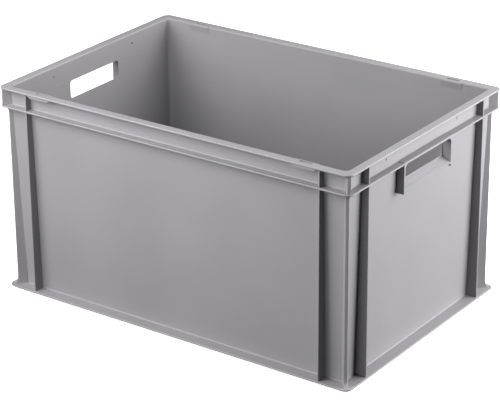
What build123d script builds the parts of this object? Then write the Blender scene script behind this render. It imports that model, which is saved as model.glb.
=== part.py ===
from build123d import *
import os
from math import sqrt

# A closed-wall stacking crate on the 600 x 400 footprint. The origin is at the middle of the footprint,
# on the plane it stands on. +X runs along the long side, +Y along the short side and +Z up.
# "Inset" is a distance inward from the outline of the footprint. Millimetres throughout.

# Envelope
LENGTH = 600.0
WIDTH = 400.0
HEIGHT = 320.0
CORNER_RADIUS = 11.0

# Tub: drafted walls and the floor
WALL = 2.5
OUTER_INSET_TOP = 12.0
OUTER_INSET_BASE = 19.2
OUTER_CORNER_RADIUS = 2.5
INNER_RADIUS = 6.0
INNER_STEP = 0.25
FLOOR_UNDER = 4.5
FLOOR_TOP = 7.0
FLOOR_EDGE_RADIUS = 4.0

# Plates that run right round: top rim, middle flange, base flange
RIM_THICKNESS = 3.0
RIM_EDGE_RADIUS = 1.2
RIM_INNER_RADIUS = 2.4
FLANGE_UNDER = 290.0
FLANGE_THICKNESS = 2.5
BASE_FLANGE_UNDER = 6.0
FLANGE_EDGE_RADIUS = 0.9
COVE_RADIUS = 1.2

# Stacking foot, which drops into the rim opening of the crate below
FOOT_INSET = 17.5
FOOT_THICKNESS = 4.0
FOOT_EDGE_RADIUS = 1.0
FOOT_CORNER_RADIUS = 6.0

# Upright ribs beside the corners
RIB = 2.6
RIB_RECESS = 2.0
RIB_EDGE_RADIUS = 1.0
RIB_X = 250.0
RIB_Y = 150.5

# Diagonal fin on each corner, by its distance from the sharp outline corner along the diagonal
FIN = 5.6
FIN_REACH = 10.4 * sqrt(2)
FIN_FLARE_REACH = 5.6 * sqrt(2)
FIN_BAND_REACH = 4.2 * sqrt(2)
FIN_FLARE_TOP = 10.0
FIN_FLARE_BASE = 11.0
FIN_EDGE_RADIUS = 1.3

# Hand grips, one in each short side: a frame with a cheek at each end and a sloping sill
GRIP_HALF_WIDTH = 63.5
GRIP_CHEEK = 2.9
GRIP_CHEEK_UNDER = 246.5
GRIP_UNDER = 250.0
GRIP_RECESS = 1.6
GRIP_EDGE_RADIUS = 0.6
GRIP_PAD_RISE = 0.5

# The tunnel through the frame, which widens outward, and the smaller hole through the wall
TUNNEL_TOP = 289.0
TUNNEL_TOP_RADIUS = 7.5
TUNNEL_INNER_INSET = 14.3
TUNNEL_BEND_INSET = 6.6
TUNNEL_INNER_HALF = 58.2
TUNNEL_BEND_HALF = 59.8
TUNNEL_INNER_SILL = 259.2
TUNNEL_BEND_SILL = 254.8
TUNNEL_OUTER_SILL = 252.4
SILL_GROOVE_RADIUS = 0.45
GRIP_HOLE_HALF = 57.0
GRIP_HOLE_SILL = 260.6
GRIP_HOLE_TOP = 288.2
GRIP_HOLE_RADIUS = 5.0

# Lid slots in the long rims, and the bosses under them
SLOT_X = 225.0
SLOT_INSET = 9.9
SLOT_LENGTH = 20.5
SLOT_WIDTH = 4.4
SLOT_DEPTH = 1.6
SLOT_HOLE_DEPTH = 5.2
BOSS_LENGTH = 42.0
BOSS_RECESS = 1.3
BOSS_DEPTH = 3.4
BOSS_SLOPE = 5.0

# Local thickening of the long walls at the rim, on the inner side of each lid slot
BULGE_LENGTH = 34.0
BULGE_INSET = 16.0
BULGE_HEIGHT = 22.0

# Label pin holes in the short sides of the band
PIN_HOLE_RADIUS = 1.5
PIN_HOLE_Y = 93.0
PIN_HOLE_Z = 305.0

# Ribbing under the floor
UNDER_RIB = 2.5
UNDER_RIB_CLEARANCE = 0.8
LONG_RIB_Y = (-112.0, -56.0, 0.0, 56.0, 112.0)
CROSS_RIB_X = (-220.0, -132.0, -44.0, 44.0, 132.0, 220.0)

# Heights and insets at which the moulding is divided into its named members
RIM_SPLIT = 313.0
BAND_SPLIT = 296.0
FLANGE_SPLIT = 286.5
BASE_SPLIT = 12.0
FOOT_SPLIT = 4.5
FLOOR_SPLIT_INSET = 27.0
FLOOR_SPLIT_RADIUS = 4.0
BOSS_SPLIT = 316.6

# How far the roots of ribs and fins stay with the walls, past the coves
ROOT = 1.7

DRAFT = (OUTER_INSET_BASE - OUTER_INSET_TOP) / (HEIGHT - BASE_FLANGE_UNDER)
HALF_LENGTH = LENGTH / 2
HALF_WIDTH = WIDTH / 2

# Overlap of added shapes, overrun of cutting shapes, and the tolerance for finding edges
EMBED = 1.0
MARGIN = 5.0
TOLERANCE = 0.01


def outer_inset(z):
    return OUTER_INSET_TOP + (HEIGHT - z) * DRAFT


def outline(inset, radius, z):
    section = RectangleRounded(LENGTH - 2 * inset, WIDTH - 2 * inset, radius)
    return Plane.XY.offset(z) * section


def drafted_block(extra_inset, low, high, radius):
    """A block whose sides lean out at the draft of the walls, with flat faces and rounded upright edges."""
    inset_low = outer_inset(low) + extra_inset
    inset_high = outer_inset(high) + extra_inset
    step = inset_low - inset_high
    length = LENGTH - 2 * inset_high
    width = WIDTH - 2 * inset_high
    block = Wedge(length, high - low, width, step, step, length - step, width - step)
    block = Pos(0, 0, (low + high) / 2) * Rot(-90, 0, 0) * block
    upright = [e for e in block.edges() if e.bounding_box().size.Z > (high - low) / 2]
    return fillet(upright, radius)


def slab(low, high, inset=0.0, radius=CORNER_RADIUS):
    return extrude(outline(inset, radius, low), high - low)


def box_between(x0, x1, y0, y1, z0, z1):
    centre = Pos((x0 + x1) / 2, (y0 + y1) / 2, (z0 + z1) / 2)
    return centre * Box(abs(x1 - x0), abs(y1 - y0), abs(z1 - z0))


def edge_loops_at(shape, levels):
    return [e for e in shape.edges() if any(abs(e.center().Z - z) < TOLERANCE for z in levels)]


def plate(low, high, edge_radius):
    flat = slab(low, high)
    return fillet(edge_loops_at(flat, (low, high)), edge_radius)


def cavity():
    """The inside of the tub, a little wider above the middle flange."""
    hollow = drafted_block(WALL, FLOOR_TOP, HEIGHT + MARGIN, INNER_RADIUS)
    hollow = fillet(edge_loops_at(hollow, (FLOOR_TOP,)), FLOOR_EDGE_RADIUS)
    return hollow + drafted_block(WALL - INNER_STEP, FLANGE_UNDER, HEIGHT + MARGIN, INNER_RADIUS)


def tub_with_plates():
    tub = drafted_block(0.0, FLOOR_UNDER, HEIGHT - EMBED, OUTER_CORNER_RADIUS)
    rim = plate(HEIGHT - RIM_THICKNESS, HEIGHT, RIM_EDGE_RADIUS)
    middle = plate(FLANGE_UNDER, FLANGE_UNDER + FLANGE_THICKNESS, FLANGE_EDGE_RADIUS)
    base = plate(BASE_FLANGE_UNDER, BASE_FLANGE_UNDER + FLANGE_THICKNESS, FLANGE_EDGE_RADIUS)
    body = tub + rim + middle + base
    levels = (
        HEIGHT - RIM_THICKNESS,
        FLANGE_UNDER + FLANGE_THICKNESS,
        FLANGE_UNDER,
        BASE_FLANGE_UNDER + FLANGE_THICKNESS,
    )
    return fillet([e for e in edge_loops_at(body, levels) if meets_wall(e)], COVE_RADIUS)


def meets_wall(edge):
    middle = edge.center()
    inset = min(HALF_LENGTH - abs(middle.X), HALF_WIDTH - abs(middle.Y))
    return inset > OUTER_INSET_TOP - EMBED


def foot():
    high = BASE_FLANGE_UNDER + EMBED
    ring = slab(0.0, high, FOOT_INSET, FOOT_CORNER_RADIUS)
    ring = fillet(edge_loops_at(ring, (0.0,)), FOOT_EDGE_RADIUS)
    inner_radius = FOOT_CORNER_RADIUS - FOOT_THICKNESS
    return ring - slab(-MARGIN, FLOOR_UNDER, FOOT_INSET + FOOT_THICKNESS, inner_radius)


def rib(x_wise):
    reach = OUTER_INSET_BASE + EMBED - RIB_RECESS
    low = BASE_FLANGE_UNDER + EMBED
    section = Rectangle(RIB, reach, align=(Align.CENTER, Align.MIN))
    bar = extrude(section, HEIGHT - EMBED - low)
    front = [e for e in bar.edges().filter_by(Axis.Z) if e.center().Y < EMBED]
    bar = fillet(front, RIB_EDGE_RADIUS)
    if x_wise:
        return Pos(RIB_X, RIB_RECESS - HALF_WIDTH, low) * bar
    return Pos(HALF_LENGTH - RIB_RECESS, RIB_Y, low) * Rot(0, 0, 90) * bar


def four_ways(shape):
    """The shape in one quarter, mirrored into the other three."""
    across = mirror(shape, about=Plane.YZ)
    return [shape, across, mirror(shape, about=Plane.XZ), mirror(across, about=Plane.XZ)]


def fin():
    """The corner fin's side view, drawn along the diagonal of the corner at +X -Y."""
    base_top = BASE_FLANGE_UNDER + FLANGE_THICKNESS
    inner = (OUTER_INSET_BASE + EMBED) * sqrt(2)
    low = base_top - EMBED
    high = FLANGE_UNDER + EMBED
    flare_top = FLANGE_UNDER - FIN_FLARE_TOP
    flare_base = base_top + FIN_FLARE_BASE
    with BuildSketch(Plane(
        origin=(HALF_LENGTH, -HALF_WIDTH, 0), x_dir=(-1, 1, 0), z_dir=(1, 1, 0)
    )) as side:
        with BuildLine():
            Line((inner, high), (FIN_FLARE_REACH, high))
            TangentArc((FIN_REACH, flare_top), (FIN_FLARE_REACH, high), tangent=(0, 1))
            Line((FIN_REACH, flare_top), (FIN_REACH, flare_base))
            TangentArc((FIN_REACH, flare_base), (FIN_FLARE_REACH, low), tangent=(0, -1))
            Line((FIN_FLARE_REACH, low), (inner, low))
            Line((inner, low), (inner, high))
        make_face()
    blade = extrude(side.sketch, FIN / 2, both=True)
    return fillet(fin_edges(blade), FIN_EDGE_RADIUS)


def band_fin():
    """The corner fin between the middle flange and the rim."""
    inner = (OUTER_INSET_BASE + EMBED) * sqrt(2)
    low = FLANGE_UNDER + EMBED
    high = HEIGHT - EMBED
    section = Rectangle(inner - FIN_BAND_REACH, FIN, align=(Align.MIN, Align.CENTER))
    plane = Plane(origin=(HALF_LENGTH, -HALF_WIDTH, low), x_dir=(-1, 1, 0), z_dir=(0, 0, 1))
    blade = extrude(plane * Pos(FIN_BAND_REACH, 0) * section, high - low)
    return fillet(fin_edges(blade), FIN_EDGE_RADIUS)


def fin_edges(blade):
    """The long outer edges of both faces of the fin."""
    picked = []
    for edge in blade.edges():
        middle = edge.center()
        reach = (HALF_LENGTH - middle.X + HALF_WIDTH + middle.Y) / sqrt(2)
        aside = abs(middle.X - HALF_LENGTH + middle.Y + HALF_WIDTH) / sqrt(2)
        on_face = aside > FIN / 2 - TOLERANCE
        upright = edge.bounding_box().size.Z > FIN_EDGE_RADIUS
        if on_face and upright and reach < FIN_REACH + EMBED:
            picked.append(edge)
    return picked


def tunnel_section(inset, half, sill):
    """Upright section of the tunnel on the +X side, square at the sill and round at the top."""
    section = Rectangle(2 * half, TUNNEL_TOP - sill)
    section = fillet(section.vertices().sort_by(Axis.Y)[-2:], TUNNEL_TOP_RADIUS)
    return grip_plane(inset, (sill + TUNNEL_TOP) / 2) * section


def grip_plane(inset, z):
    return Plane(origin=(HALF_LENGTH - inset, 0, z), x_dir=(0, 1, 0), z_dir=(1, 0, 0))


def grip_tools():
    """What is cut away for the hand grip on the +X side."""
    inner = tunnel_section(TUNNEL_INNER_INSET, TUNNEL_INNER_HALF, TUNNEL_INNER_SILL)
    bend = tunnel_section(TUNNEL_BEND_INSET, TUNNEL_BEND_HALF, TUNNEL_BEND_SILL)
    outer = tunnel_section(GRIP_RECESS, GRIP_HALF_WIDTH - GRIP_CHEEK, TUNNEL_OUTER_SILL)
    hole = RectangleRounded(2 * GRIP_HOLE_HALF, GRIP_HOLE_TOP - GRIP_HOLE_SILL, GRIP_HOLE_RADIUS)
    hole = grip_plane(TUNNEL_INNER_INSET - EMBED, (GRIP_HOLE_TOP + GRIP_HOLE_SILL) / 2) * hole
    groove = Rot(90, 0, 0) * Cylinder(SILL_GROOVE_RADIUS, 2 * TUNNEL_BEND_HALF)
    return [
        loft([inner, bend], ruled=True),
        loft([bend, outer], ruled=True),
        extrude(outer, MARGIN),
        extrude(hole, -OUTER_INSET_BASE),
        Pos(HALF_LENGTH - TUNNEL_BEND_INSET, 0, TUNNEL_BEND_SILL) * groove,
    ]


def grip_frame():
    inner_x = HALF_LENGTH - OUTER_INSET_BASE
    outer_x = HALF_LENGTH - GRIP_RECESS
    half = GRIP_HALF_WIDTH
    high = FLANGE_UNDER + EMBED
    frame = box_between(inner_x, outer_x, -half, half, GRIP_UNDER, high)
    frame += box_between(inner_x, outer_x, half - GRIP_CHEEK, half, GRIP_CHEEK_UNDER, high)
    frame += box_between(inner_x, outer_x, -half, GRIP_CHEEK - half, GRIP_CHEEK_UNDER, high)
    outer_face = frame.faces().sort_by(Axis.X)[-1]
    frame = fillet([e for e in outer_face.edges() if e.center().Z < FLANGE_UNDER], GRIP_EDGE_RADIUS)
    top = FLANGE_UNDER + FLANGE_THICKNESS
    flat_x = HALF_LENGTH - FLANGE_EDGE_RADIUS
    return frame + box_between(inner_x, flat_x, -half, half, top - EMBED, top + GRIP_PAD_RISE)


def slot_boss():
    """Block under the long rim, with sloping ends, at +X -Y."""
    half = BOSS_LENGTH / 2
    top = HEIGHT - EMBED
    under = HEIGHT - RIM_THICKNESS - BOSS_DEPTH
    front = -HALF_WIDTH + BOSS_RECESS
    outline_points = (
        (SLOT_X - half, top),
        (SLOT_X - half, HEIGHT - RIM_THICKNESS),
        (SLOT_X - half + BOSS_SLOPE, under),
        (SLOT_X + half - BOSS_SLOPE, under),
        (SLOT_X + half, HEIGHT - RIM_THICKNESS),
        (SLOT_X + half, top),
    )
    face = make_face(Plane.XZ * Polyline(*outline_points, close=True))
    depth = OUTER_INSET_TOP + EMBED - BOSS_RECESS
    return Pos(0, front, 0) * extrude(face, -depth)


def bulge():
    """Thickening inside the long wall behind the slot at +X -Y, which fades out downward."""
    root = OUTER_INSET_TOP + WALL / 2
    corners = ((root, HEIGHT), (BULGE_INSET, HEIGHT), (root, HEIGHT - BULGE_HEIGHT))
    block = extrude(make_face(Plane.YZ * Polyline(*corners, close=True)), BULGE_LENGTH / 2, both=True)
    block = fillet(block.edges().filter_by(Axis.X).sort_by(Axis.Y)[-1], RIM_INNER_RADIUS)
    return Pos(SLOT_X, -HALF_WIDTH, 0) * block


def slot_pocket(x):
    """Lid slot with a deeper hole at its -X end, in the front rim."""
    groove = extrude(SlotOverall(SLOT_LENGTH, SLOT_WIDTH), SLOT_DEPTH + MARGIN)
    hole_x = -(SLOT_LENGTH - SLOT_WIDTH) / 2
    hole = Cylinder(SLOT_WIDTH / 2, SLOT_HOLE_DEPTH + MARGIN, align=(Align.CENTER, Align.CENTER, Align.MIN))
    drop = SLOT_DEPTH - SLOT_HOLE_DEPTH
    tool = groove + Pos(hole_x, 0, drop) * hole
    return Pos(x, -HALF_WIDTH + SLOT_INSET, HEIGHT - SLOT_DEPTH) * tool


def pin_holes():
    tool = Rot(0, 90, 0) * Cylinder(PIN_HOLE_RADIUS, 2 * OUTER_INSET_BASE)
    x = HALF_LENGTH - OUTER_INSET_TOP
    return [Pos(sx * x, sy * PIN_HOLE_Y, PIN_HOLE_Z) * tool for sx in (-1, 1) for sy in (-1, 1)]


def moulding():
    body = tub_with_plates() + foot()
    additions = four_ways(rib(True)) + four_ways(rib(False)) + four_ways(fin())
    additions += four_ways(band_fin()) + four_ways(slot_boss())
    frame = grip_frame()
    additions += [frame, mirror(frame, about=Plane.YZ)]
    body = body + additions
    body = body - cavity()
    inner_edge = [e for e in edge_loops_at(body, (HEIGHT,)) if meets_wall(e)]
    body = fillet(inner_edge, RIM_INNER_RADIUS) + four_ways(bulge())
    front_pockets = [slot_pocket(-SLOT_X), slot_pocket(SLOT_X)]
    tools = front_pockets + [mirror(p, about=Plane.XZ) for p in front_pockets]
    grip = grip_tools()
    tools += grip + [mirror(tool, about=Plane.YZ) for tool in grip]
    return body - tools - pin_holes()


def side_cell(side, low, high):
    """The share of the footprint nearest one side, with its corners cut on the diagonal."""
    far_x = HALF_LENGTH + MARGIN
    far_y = HALF_WIDTH + MARGIN
    ridge = HALF_LENGTH - HALF_WIDTH
    if side in ("front", "back"):
        points = ((-far_x, -far_y), (far_x, -far_y), (ridge, 0), (-ridge, 0))
        about = Plane.XZ
    else:
        points = ((far_x, -far_y), (far_x, far_y), (ridge, 0))
        about = Plane.YZ
    cell = extrude(Pos(0, 0, low) * make_face(Polyline(*points, close=True)), high - low)
    if side in ("back", "left"):
        return mirror(cell, about=about)
    return cell


def envelope(low, high):
    """The walls and the roots of what stands on them."""
    return drafted_block(-ROOT, low, high, OUTER_CORNER_RADIUS + ROOT)


def layer(low, high):
    return box_between(
        -HALF_LENGTH - MARGIN, HALF_LENGTH + MARGIN, -HALF_WIDTH - MARGIN, HALF_WIDTH + MARGIN, low, high
    )


def corner_names(stem):
    return [f"{stem}_front_right", f"{stem}_front_left", f"{stem}_back_right", f"{stem}_back_left"]


def quarter_boxes(x0, x1, y0, y1, z0, z1):
    """A box in the quarter at +X -Y and its three mirror images, in the order of corner_names."""
    return four_ways(box_between(x0, x1, y0, y1, z0, z1))


def stand_offs(body, low, high):
    """What stands out from the walls between two heights: by name, the ribs and the corner fins."""
    proud = (body & layer(low, high)) - envelope(low - MARGIN, high + MARGIN)
    end_x = HALF_LENGTH + MARGIN
    end_y = -HALF_WIDTH - MARGIN
    inner_x = HALF_LENGTH - OUTER_INSET_BASE - MARGIN
    inner_y = -HALF_WIDTH + OUTER_INSET_BASE + MARGIN
    cells = {
        "long_side_rib": (RIB_X - RIB, RIB_X + RIB, end_y, inner_y),
        "short_side_rib": (inner_x, end_x, -RIB_Y - RIB, -RIB_Y + RIB),
        "corner_fin": (RIB_X + MARGIN, end_x, end_y, -RIB_Y - MARGIN),
    }
    found = {}
    for stem, (x0, x1, y0, y1) in cells.items():
        for name, cell in zip(corner_names(stem), quarter_boxes(x0, x1, y0, y1, low, high)):
            found[name] = proud & cell
    return found


def side_members(body):
    """The members that run along each side, from the foot to the rim."""
    walls = body & envelope(FOOT_SPLIT, HEIGHT + MARGIN)
    floor_cell = slab(-MARGIN, BASE_SPLIT + EMBED, FLOOR_SPLIT_INSET, FLOOR_SPLIT_RADIUS)
    framed = body - floor_cell
    upper = body - four_boss_cells()
    found = {}
    for side in ("front", "back", "left", "right"):
        found[f"foot_rail_{side}"] = framed & side_cell(side, -MARGIN, FOOT_SPLIT)
        found[f"base_flange_{side}"] = framed & side_cell(side, FOOT_SPLIT, BASE_SPLIT)
        found[f"wall_{side}"] = walls & side_cell(side, BASE_SPLIT, FLANGE_SPLIT)
        found[f"middle_flange_{side}"] = body & side_cell(side, FLANGE_SPLIT, BAND_SPLIT)
        found[f"band_wall_{side}"] = walls & side_cell(side, BAND_SPLIT, RIM_SPLIT)
        found[f"rim_{side}"] = upper & side_cell(side, RIM_SPLIT, HEIGHT + MARGIN)
    found["floor_panel"] = body & floor_cell
    return found


def boss_cell():
    half = BOSS_LENGTH / 2 + EMBED
    inner = -HALF_WIDTH + OUTER_INSET_TOP - ROOT
    return box_between(
        SLOT_X - half, SLOT_X + half, -HALF_WIDTH - MARGIN, inner, RIM_SPLIT - EMBED, BOSS_SPLIT
    )


def four_boss_cells():
    return four_ways(boss_cell())


def slot_bosses(body):
    cells = zip(corner_names("lid_slot_boss"), four_boss_cells())
    return {name: body & cell for name, cell in cells}


def grip_frames(body):
    proud = body - envelope(BASE_SPLIT, FLANGE_SPLIT + MARGIN)
    half = GRIP_HALF_WIDTH + MARGIN
    inner = HALF_LENGTH - OUTER_INSET_BASE - MARGIN
    low = GRIP_CHEEK_UNDER - MARGIN
    cell = box_between(inner, HALF_LENGTH + MARGIN, -half, half, low, FLANGE_SPLIT)
    return {"grip_frame_right": proud & cell, "grip_frame_left": proud & mirror(cell, about=Plane.YZ)}


def underside_grid():
    end_x = HALF_LENGTH - FOOT_INSET - FOOT_THICKNESS
    end_y = HALF_WIDTH - FOOT_INSET - FOOT_THICKNESS
    half = UNDER_RIB / 2
    low = UNDER_RIB_CLEARANCE
    ribs = [box_between(-end_x, end_x, y - half, y + half, low, FLOOR_UNDER) for y in LONG_RIB_Y]
    ribs += [box_between(x - half, x + half, -end_y, end_y, low, FLOOR_UNDER) for x in CROSS_RIB_X]
    return ribs[0] + ribs[1:]


def members():
    body = moulding()
    found = side_members(body)
    found.update(stand_offs(body, BASE_SPLIT, FLANGE_SPLIT))
    for name, shape in stand_offs(body, BAND_SPLIT, RIM_SPLIT).items():
        found[f"band_{name}"] = shape
    found.update(slot_bosses(body))
    found.update(grip_frames(body))
    found["underside_grid"] = underside_grid()
    return found


def main():
    os.makedirs("parts", exist_ok=True)
    for name, shape in members().items():
        export_step(shape, f"parts/{name}.step")


if __name__ == "__main__":
    main()
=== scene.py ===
from math import cos, radians, sin, tau

import bpy
from mathutils import Matrix, Vector


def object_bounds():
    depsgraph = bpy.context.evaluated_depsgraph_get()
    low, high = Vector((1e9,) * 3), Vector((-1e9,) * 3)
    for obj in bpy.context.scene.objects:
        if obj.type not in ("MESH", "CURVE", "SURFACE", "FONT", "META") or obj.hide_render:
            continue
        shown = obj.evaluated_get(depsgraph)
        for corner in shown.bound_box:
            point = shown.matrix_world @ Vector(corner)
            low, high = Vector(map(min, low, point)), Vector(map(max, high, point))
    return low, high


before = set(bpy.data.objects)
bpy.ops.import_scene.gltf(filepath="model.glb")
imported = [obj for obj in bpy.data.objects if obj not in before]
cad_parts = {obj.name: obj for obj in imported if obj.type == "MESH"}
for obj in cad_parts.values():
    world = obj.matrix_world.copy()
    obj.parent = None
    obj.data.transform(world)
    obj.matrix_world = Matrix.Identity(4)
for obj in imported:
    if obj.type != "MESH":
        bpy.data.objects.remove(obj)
CAD_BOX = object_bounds()

# Camera: a plain pinhole that looks down on the crate, with a slight roll
CAMERA_AZIMUTH = radians(35.35)
CAMERA_ELEVATION = radians(23.29)
CAMERA_ROLL = radians(0.46)
CAMERA_DISTANCE = 3.094
CAMERA_AIM = Vector((0.0, 0.0, 0.1377))
CAMERA_LENS = 152.6
SENSOR_WIDTH = 36.0

# Studio
WHITE = (1.0, 1.0, 1.0, 1.0)
FLOOR_SIZE = 40.0
STAGING_COLOUR = (0.85, 0.85, 0.85, 1.0)
STAGING_ROUGHNESS = 0.9
FLOOR_GLOW = 0.85
BACKDROP_GLOW = 0.95
BACKDROP_RADIUS = 18.0
BACKDROP_HEIGHT = 14.0
BACKDROP_SIDES = 64
WORLD_STRENGTH = 0.02

# Soft boxes: all the same size and distance, in crate lengths, turned from where the camera stands.
# The side light is the strongest, because the short side is a little brighter than the long one. The top
# light is half the key, and the fill a quarter.
BOX_SIDE = 1.5
BOX_DISTANCE = 2.0
KEY_POWER = 26.0
SIDE_POWER = KEY_POWER * 1.25
TOP_POWER = KEY_POWER / 2
FILL_POWER = KEY_POWER / 4
KEY_TURN = radians(-65)
SIDE_TURN = radians(80)
FILL_TURN = radians(-30)
TOP_TURN = radians(120)
KEY_HEIGHT = radians(35)
LOW_HEIGHT = radians(15)
TOP_HEIGHT = radians(60)

# Plastic
BASE_DARK = (0.200, 0.195, 0.203, 1.0)
BASE_LIGHT = (0.220, 0.2145, 0.2233, 1.0)
SCUFF_COLOUR = (0.262, 0.256, 0.266, 1.0)
SCUFF_STRENGTH = (0.0, 0.35)
ROUGHNESS = (0.44, 0.56)
SPECULAR_LEVEL = 0.5
GRAIN_HEIGHT = 0.00003
WAVE_HEIGHT = 0.00035

# Noise patterns of the plastic: scale, detail and roughness
CLOUD = (5.0, 3.0, 0.5)
STREAK = (1.0, 4.0, 0.6)
SCUFF = (38.0, 8.0, 0.75)
GRAIN = (1400.0, 2.0, 0.5)
WAVE = (11.0, 1.0, 0.5)
STREAK_STRETCH = (9.0, 9.0, 1.4)

# Ranges: most of a noise, the peaks of a noise, and all of a mix
MOST = (0.3, 0.7)
PEAKS = (0.62, 0.78)
WHOLE = (0.0, 1.0)


def new_material(name):
    material = bpy.data.materials.new(name)
    material.use_nodes = True
    nodes = material.node_tree.nodes
    nodes.clear()
    output = nodes.new("ShaderNodeOutputMaterial")
    shader = nodes.new("ShaderNodeBsdfPrincipled")
    material.node_tree.links.new(shader.outputs["BSDF"], output.inputs["Surface"])
    return material, shader


def noise(tree, vector, pattern):
    node = tree.nodes.new("ShaderNodeTexNoise")
    for name, number in zip(("Scale", "Detail", "Roughness"), pattern):
        node.inputs[name].default_value = number
    tree.links.new(vector, node.inputs["Vector"])
    return node.outputs[0]


def remap(tree, value, source, target):
    """The value stretched from one range to another, and held at its ends."""
    node = tree.nodes.new("ShaderNodeMapRange")
    for name, number in zip(("From Min", "From Max", "To Min", "To Max"), (*source, *target)):
        node.inputs[name].default_value = number
    tree.links.new(value, node.inputs["Value"])
    return node.outputs[0]


def mix_colour(tree, factor, first, second):
    node = tree.nodes.new("ShaderNodeMixRGB")
    tree.links.new(factor, node.inputs["Fac"])
    for socket, colour in ((node.inputs["Color1"], first), (node.inputs["Color2"], second)):
        if isinstance(colour, tuple):
            socket.default_value = colour
        else:
            tree.links.new(colour, socket)
    return node.outputs["Color"]


def add_bump(tree, height, distance, normal=None):
    node = tree.nodes.new("ShaderNodeBump")
    node.inputs["Distance"].default_value = distance
    tree.links.new(height, node.inputs["Height"])
    if normal is not None:
        tree.links.new(normal, node.inputs["Normal"])
    return node.outputs["Normal"]


def plastic():
    """Grey polypropylene: a faintly clouded colour, light scuffs, moulded grain and a slow waviness."""
    material, shader = new_material("moulded_plastic")
    tree = material.node_tree
    place = tree.nodes.new("ShaderNodeTexCoord").outputs["Object"]
    stretch = tree.nodes.new("ShaderNodeMapping")
    stretch.inputs["Scale"].default_value = STREAK_STRETCH
    tree.links.new(place, stretch.inputs["Vector"])
    cloud = noise(tree, place, CLOUD)
    streak = noise(tree, stretch.outputs["Vector"], STREAK)
    scuff = remap(tree, noise(tree, place, SCUFF), PEAKS, SCUFF_STRENGTH)
    base = mix_colour(tree, remap(tree, cloud, MOST, WHOLE), BASE_DARK, BASE_LIGHT)
    colour = mix_colour(tree, scuff, base, SCUFF_COLOUR)
    tree.links.new(colour, shader.inputs["Base Color"])
    tree.links.new(remap(tree, streak, MOST, ROUGHNESS), shader.inputs["Roughness"])
    waves = add_bump(tree, noise(tree, place, WAVE), WAVE_HEIGHT)
    grain = add_bump(tree, noise(tree, place, GRAIN), GRAIN_HEIGHT, waves)
    tree.links.new(grain, shader.inputs["Normal"])
    shader.inputs["Specular IOR Level"].default_value = SPECULAR_LEVEL
    return material


def add_camera():
    data = bpy.data.cameras.new("camera")
    data.sensor_width = SENSOR_WIDTH
    data.lens = CAMERA_LENS
    camera = bpy.data.objects.new("camera", data)
    bpy.context.scene.collection.objects.link(camera)
    level = cos(CAMERA_ELEVATION)
    back = Vector((sin(CAMERA_AZIMUTH) * level, -cos(CAMERA_AZIMUTH) * level, sin(CAMERA_ELEVATION)))
    turn = back.to_track_quat("Z", "Y").to_matrix().to_4x4()
    place = Matrix.Translation(CAMERA_AIM + back * CAMERA_DISTANCE)
    camera.matrix_world = place @ turn @ Matrix.Rotation(-CAMERA_ROLL, 4, "Z")
    bpy.context.scene.camera = camera


def add_staging(name, points, faces, glow):
    """A piece of the studio that is seen but throws no light on the crate."""
    mesh = bpy.data.meshes.new(name)
    mesh.from_pydata(points, [], faces)
    piece = bpy.data.objects.new(name, mesh)
    bpy.context.scene.collection.objects.link(piece)
    material, shader = new_material(name)
    shader.inputs["Base Color"].default_value = STAGING_COLOUR
    shader.inputs["Roughness"].default_value = STAGING_ROUGHNESS
    shader.inputs["Emission Color"].default_value = WHITE
    shader.inputs["Emission Strength"].default_value = glow
    mesh.materials.append(material)
    piece.visible_diffuse = False
    piece.visible_glossy = False


def add_floor():
    half = FLOOR_SIZE / 2
    points = [(-half, -half, 0), (half, -half, 0), (half, half, 0), (-half, half, 0)]
    add_staging("floor", points, [(0, 1, 2, 3)], FLOOR_GLOW)


def add_backdrop():
    """A round wall far behind everything."""
    points = []
    for side in range(BACKDROP_SIDES):
        turn = tau * side / BACKDROP_SIDES
        x = BACKDROP_RADIUS * cos(turn)
        y = BACKDROP_RADIUS * sin(turn)
        points += [(x, y, 0.0), (x, y, BACKDROP_HEIGHT)]
    count = len(points)
    faces = [(i, (i + 2) % count, (i + 3) % count, i + 1) for i in range(0, count, 2)]
    add_staging("backdrop", points, faces, BACKDROP_GLOW)


def add_soft_box(name, turn, height, power):
    """A square soft box aimed at the middle of the crate. The turn is from the camera, about +Z."""
    low, high = (Vector(corner) for corner in CAD_BOX)
    length = high.x - low.x
    data = bpy.data.lights.new(name, "AREA")
    data.shape = "SQUARE"
    data.size = BOX_SIDE * length
    data.energy = power
    light = bpy.data.objects.new(name, data)
    bpy.context.scene.collection.objects.link(light)
    azimuth = CAMERA_AZIMUTH + turn
    level = cos(height)
    away = Vector((sin(azimuth) * level, -cos(azimuth) * level, sin(height)))
    place = Matrix.Translation((low + high) / 2 + away * BOX_DISTANCE * length)
    light.matrix_world = place @ away.to_track_quat("Z", "Y").to_matrix().to_4x4()


def add_lights():
    """A key from the camera's left, a side light from its right, a weak fill, and a light from above."""
    add_soft_box("key", KEY_TURN, KEY_HEIGHT, KEY_POWER)
    add_soft_box("side", SIDE_TURN, LOW_HEIGHT, SIDE_POWER)
    add_soft_box("fill", FILL_TURN, LOW_HEIGHT, FILL_POWER)
    add_soft_box("top", TOP_TURN, TOP_HEIGHT, TOP_POWER)


def add_world():
    world = bpy.data.worlds.new("studio")
    world.use_nodes = True
    background = world.node_tree.nodes["Background"]
    background.inputs["Color"].default_value = WHITE
    background.inputs["Strength"].default_value = WORLD_STRENGTH
    bpy.context.scene.world = world


bpy.context.scene.view_settings.view_transform = "Standard"
add_camera()
add_floor()
add_backdrop()
add_world()
add_lights()
grey = plastic()
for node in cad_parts.values():
    node.data.materials.clear()
    node.data.materials.append(grey)
